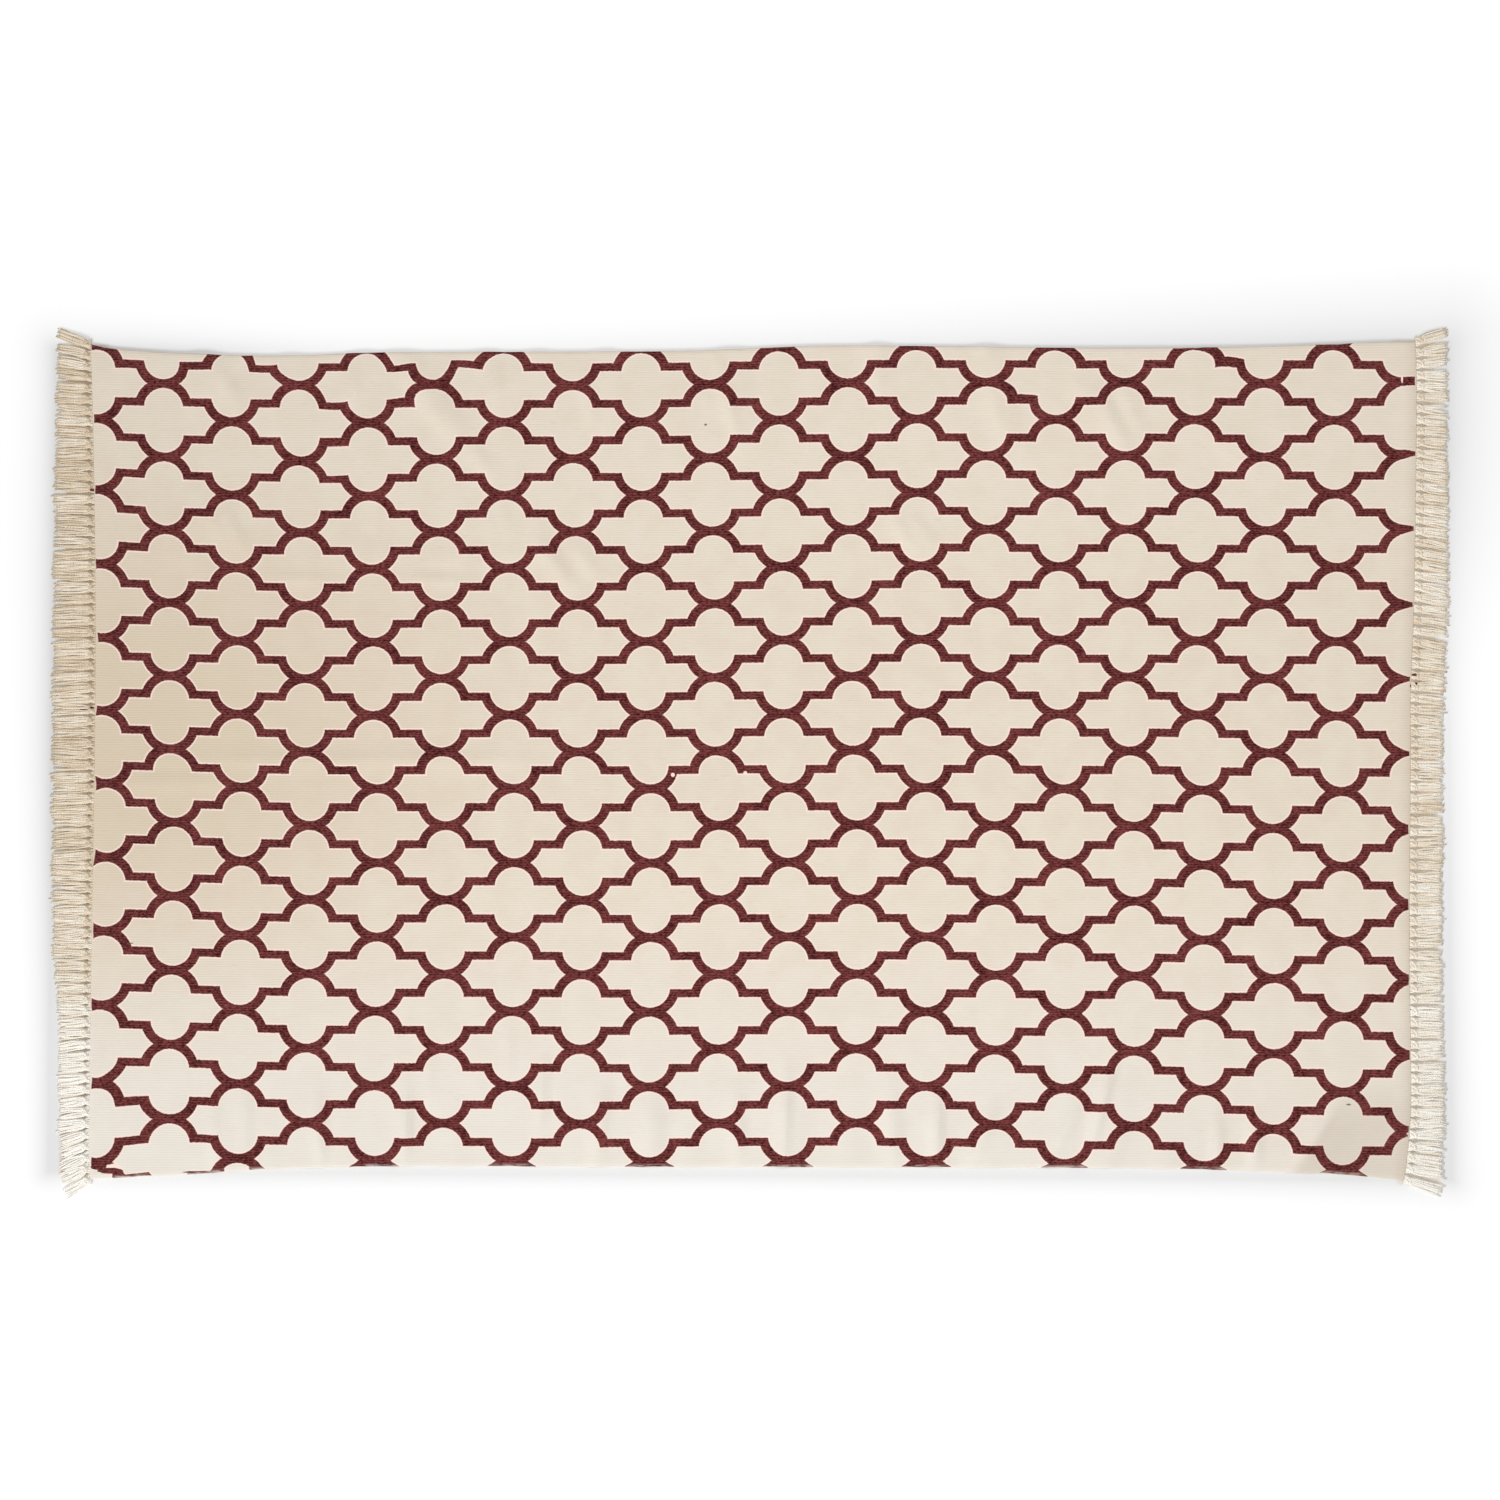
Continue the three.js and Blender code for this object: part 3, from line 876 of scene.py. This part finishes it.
def cotton_ground(place, streaks, blotches):
    """The cotton without its print: streaked along both yarns, tan at the left and paler below."""
    x, y = place.parts()[:2]
    wefts = place.cloud(3.2, 2.0, (0.9, 8.0, 1))
    ground = mixed((blotches * 0.5 + 0.5).ramp(0, 1), COTTON_DIM, COTTON_CLEAR)
    ground = mixed((streaks * 0.5 - 0.1).ramp(0, 1), ground, COTTON_STREAK)
    ground = mixed((wefts * 0.5 - 0.2).ramp(0, 1), ground, COTTON_WEFT)
    tan_x = (x - TAN_MIDDLE[0]) * (1 / TAN_HALF[0])
    tan_y = (y - TAN_MIDDLE[1]) * (1 / TAN_HALF[1])
    ground = mixed(tan_x.length_with(tan_y).fall(0.1, 1.1) * TAN_MOST, ground, COTTON_TAN)
    band = y.ramp(*BAND_LOW) * y.fall(*BAND_TOP) * x.ramp(*BAND_LEFT)
    ground = mixed(band * BAND_MOST, ground, COTTON_TAN)
    pale = y.fall(*PALER_BELOW) * (1 - x.ramp(*PALE_RIGHT) * 0.4)
    return mixed(pale * PALE_MOST, ground, COTTON_PALE)


def where_printed(place):
    """The share of ink at each place, and the share of its pink halo."""
    x, y = place.parts()[:2]
    from_left, from_right, from_side = place.stored("inset").parts()
    chart_x, chart_y, face_up = place.stored("chart").parts()
    ragged = place.cloud(1.6, 1.0, (1.6, 0.9, 1)) * 0.32
    near_end = from_right.fall(-1.0, 15.0) * y.ramp(-60, -20) * y.fall(380, 400)
    lower_rim = from_side.fall(0.8, 4.5) * y.fall(-200, 0)
    edge = inside_trellis(chart_x, chart_y) + ragged + near_end * WIDER_AT_END - lower_rim * BLED_AT_RIM
    ends = (from_left + place.cloud(22, 1.0) * 1.3).ramp(*STARTS_LEFT)
    ends = ends * (from_right + place.cloud(22, 1.0) * 0.9).ramp(*STARTS_RIGHT)
    ends = ends * (from_side + place.cloud(45, 2.0) * 1.2).ramp(*STARTS_SIDES)
    torn = place.cloud(3, 2.0, (2.0, 0.7, 1)) * 0.25
    ink = edge.fall(-0.5, 0.5) * ends * (patches(place, UNPRINTED) + torn).fall(0.35, 0.65)
    smears = patches(place, SMEARED)
    ink = x.maths("MAXIMUM", ink, (smears + torn).ramp(0.35, 0.65) * smears.ramp(0.02, 0.2))
    rubbed = (place.cloud(7, 2.0, (2.5, 0.6, 1)) + 0.5).ramp(0, 1)
    ink = ink * (1 - lower_rim * rubbed * 0.5) * (face_up.ramp(0.2, 0.6) * 0.72 + 0.28)
    return ink, edge.fall(1.1, 2.2) * (1 - ink) * ends * 0.85


def cotton_finish():
    """Natural cotton with a wine-red trellis printed on it by hand with screens."""
    material, shader, place = new_finish("printed_cotton", 0.95, 0.03)
    x, y = place.parts()[:2]
    from_right = place.stored("inset").parts()[1]
    height = weave_height(place)
    streaks = place.cloud(2.4, 2.0, (5.0, 0.9, 1))
    blotches = place.cloud(28, 3.0)
    printed, halo = where_printed(place)
    ground = mixed(halo, cotton_ground(place, streaks, blotches), INK_HALO)
    # Painted shade: the cloth darkens within about 16 mm of its right end.
    ground = mixed(from_right.fall(2, 16) * 0.3, ground, COTTON_SHADED_AT_END)
    past_fold = x - y * CORNER_FOLD_LEAN - CORNER_FOLD
    shaded = past_fold.ramp(-8, 12) * (1 - past_fold.ramp(0, 200) * 0.5) * y.fall(-400, -330)
    ground = mixed(shaded * 0.4, ground, COTTON_IN_SHADE)
    mottle = (place.cloud(2.4, 3.0, (1.4, 0.8, 1)) * 0.5 + height * 0.5 + blotches * 0.15).ramp(-0.3, 1.0)
    colour = mixed(printed, ground, mixed(mottle, INK_DARK, INK_WORN))
    colour = mixed(patches(place, FLECKS) * 0.8, colour, HUSK)
    relief = height * RELIEF + streaks * STREAK_RELIEF
    normal = place.node("ShaderNodeBump", {}, {"Strength": 1.0, "Distance": MM, "Height": relief})
    worn(shader, {"Base Color": colour, "Normal": normal})
    return material


# The twist of the yarns: how fast the two plies turn, in radians for each millimetre, and how deep the
# grooves are in metres.
TWIST_RATE = 2.1
TWIST_DEPTH = 0.0004


def yarn_finish():
    """Plied cotton warp ends, lighter and darker from lock to lock, with a fine twist."""
    material, shader, place = new_finish("fringe_yarn", 0.95, 0.05)
    y = place.parts()[1]
    tone = place.stored("tone", "Fac")
    cosine, sine, reach = place.stored("laid").parts()
    turn = cosine.maths("ARCTAN2", sine, cosine)
    twist = turn.maths("SINE", turn * 2 + reach * TWIST_RATE)
    soft = place.cloud(14, 2.0)
    fine = place.cloud(2.2, 2.0)
    # The term in 1 - sine paints the sides of each yarn lighter than its top, a painted highlight against
    # the shade in the grooves between yarns.
    level = tone * 0.5 + soft * 0.18 + fine * 0.12 + (1 - sine) * 0.35 + 0.3
    colour = mixed(level.ramp(0, 0.55), YARN_DARK, YARN_MIDDLE)
    colour = mixed(level.ramp(0.5, 1.0), colour, YARN_LIGHT)
    colour = mixed(y.fall(*PALER_BELOW) * YARN_PALE_MOST, colour, YARN_PALE)
    colour = mixed((patches(place, STAINS) + fine * 0.2).ramp(0.4, 0.7), colour, INK_ON_YARN)
    relief = twist * 0.5 + fine * 0.4
    normal = place.node("ShaderNodeBump", {}, {"Strength": 0.3, "Distance": TWIST_DEPTH, "Height": relief})
    worn(shader, {"Base Color": colour, "Normal": normal})
    return material


cotton = cotton_finish()
yarn = yarn_finish()

# The fringes, which stand for their solids
for name, node, fringe in (
    ("locks_left", "fringe_left", Fringe(-1, LEFT_REACH, LEFT_LEAN, LEFT_TONE, LEFT_FULLNESS, seed=11)),
    ("locks_right", "fringe_right", Fringe(1, RIGHT_REACH, RIGHT_LEAN, RIGHT_TONE, RIGHT_FULLNESS, seed=23)),
):
    strands = shown(name, fringe.yarns(), yarn)
    knots = shown(name.replace("locks", "knots"), fringe.knots(), yarn)
    for piece in (strands, knots):
        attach(piece, "root")
    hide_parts(node)

# The cloth, which stands for its solid
rug = shown("cloth_printed", cloth_mesh(), cotton)
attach(rug, "root")
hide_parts("rug_cloth")

# The pale floor in metres. Its paint glows as painted light, less near the rug and in the two painted soft
# shadows round it.
FLOOR_HALF = 6.0
FLOOR_GLOW = 0.6
FLOOR_GREY = (0.7, 0.7, 0.7, 1)
# Warm painted shade for the floor seen in the gaps between the locks.
SHADE_UNDER_LEFT_LOCKS = (0.62, 0.52, 0.41, 1)
SHADE_UNDER_RIGHT_LOCKS = (0.72, 0.66, 0.58, 1)
RUG_HALF_LONG = 0.762
RUG_HALF_WIDE = 0.452
CLOSE_SHADOW = 0.016
WIDE_SHADOW = 0.07
# Distances from the middle: where the floor begins to count as beside an end, and where it wholly does,
# then the same for the inner, the outer and the long edge of the strips of painted shade under the locks.
BESIDE_END = (0.4, 0.77)
STRIP_INNER = (0.700, 0.708)
STRIP_OUTER = (0.745, 0.752)
STRIP_LONG = (0.452, 0.460)


def painted_shadow_on_floor(x, y, away):
    """The painted shadow round the rug: a dark rim, deepest at the left end, and a wide soft shadow by its
    far corner.
    """
    at_left = (0 - x).ramp(*BESIDE_END) * (y.ramp(-0.35, 0.05) * 0.17 + 0.05)
    at_right = x.ramp(*BESIDE_END) * 0.03
    near_side = (0 - y).ramp(-0.5, 0.5) * 0.14
    close = away.maths("EXPONENT", away * (-1 / CLOSE_SHADOW)) * (at_left + at_right + near_side + 0.08)
    far_corner = x.ramp(-0.7, 0.75) * y.ramp(0.05, 0.4)
    return close + away.maths("EXPONENT", away * (-1 / WIDE_SHADOW)) * far_corner * 0.19


def floor_finish():
    """Pale paint that glows, and warm painted shade without glow in the strips under the locks."""
    material, shader, place = new_finish("floor_paint", 0.9, 0.0, unit=1.0)
    shader.inputs["Emission Strength"].default_value = FLOOR_GLOW
    x, y = place.parts()[:2]
    from_middle = x.maths("ABSOLUTE", x)
    from_line = y.maths("ABSOLUTE", y)
    past_end = x.maths("MAXIMUM", from_middle - RUG_HALF_LONG, 0.0)
    past_side = y.maths("MAXIMUM", from_line - RUG_HALF_WIDE, 0.0)
    away = past_end.length_with(past_side)
    # The glow is painted light: dimmer near the rug, a little brighter towards +Y, and cut by the painted
    # shadows.
    glow = away.ramp(0.0, 0.35) * 0.4 + y.ramp(0.2, 0.5) * 0.05 + 0.56
    glow = glow - painted_shadow_on_floor(x, y, away) * (1 / FLOOR_GLOW)
    under_locks = from_middle.ramp(*STRIP_INNER) * from_middle.fall(*STRIP_OUTER)
    open_floor = 1 - under_locks * from_line.fall(*STRIP_LONG)
    painted_shade_strip = mixed(x.ramp(*BESIDE_END), SHADE_UNDER_LEFT_LOCKS, SHADE_UNDER_RIGHT_LOCKS)
    worn(shader, {
        "Base Color": mixed(open_floor, painted_shade_strip, FLOOR_GREY),
        "Emission Color": x.maths("MAXIMUM", glow, 0.0) * open_floor,
    })
    return material


def floor_mesh():
    shape = bmesh.new()
    bmesh.ops.create_grid(shape, x_segments=2, y_segments=2, size=FLOOR_HALF)
    return mesh_of("floor", shape)


shown("floor", floor_mesh(), floor_finish(), smooth=False)


# Soft studio light: a panel on the near left, one above, and an even glow all round

def panel(name, place, target, size, watts):
    lamp = bpy.data.lights.new(name, "AREA")
    lamp.shape = "SQUARE"
    lamp.size = size
    lamp.energy = watts
    holder = bpy.data.objects.new(name, lamp)
    holder.location = place
    holder.rotation_euler = (Vector(target) - Vector(place)).to_track_quat("-Z", "Y").to_euler()
    holder.visible_camera = False
    bpy.context.scene.collection.objects.link(holder)


def glow_all_round(strength):
    glow = bpy.data.worlds.new("studio")
    glow.use_nodes = True
    glow.node_tree.nodes["Background"].inputs["Color"].default_value = (1, 1, 1, 1)
    glow.node_tree.nodes["Background"].inputs["Strength"].default_value = strength
    bpy.context.scene.world = glow


panel("key_panel", place=(-2.2, -4.2, 3.4), target=(0, 0, 0), size=2.0, watts=208)
panel("top_panel", place=(0.35, 0.2, 2.1), target=(0.35, 0.2, 0), size=0.7, watts=15.6)
glow_all_round(strength=0.37)
bpy.context.scene.view_settings.view_transform = "Standard"

# The camera, straight above and turned by a degree or so, as in the photograph
CAMERA_PLACE = (0.0647, -0.0452, 2.2698)
CAMERA_TURN = (1.40, 1.48, 0.08)
lens = bpy.data.cameras.new("camera")
lens.lens = 50
lens.sensor_width = 36
camera = bpy.data.objects.new("camera", lens)
camera.location = CAMERA_PLACE
camera.rotation_euler = [math.radians(angle) for angle in CAMERA_TURN]
bpy.context.scene.collection.objects.link(camera)
bpy.context.scene.camera = camera
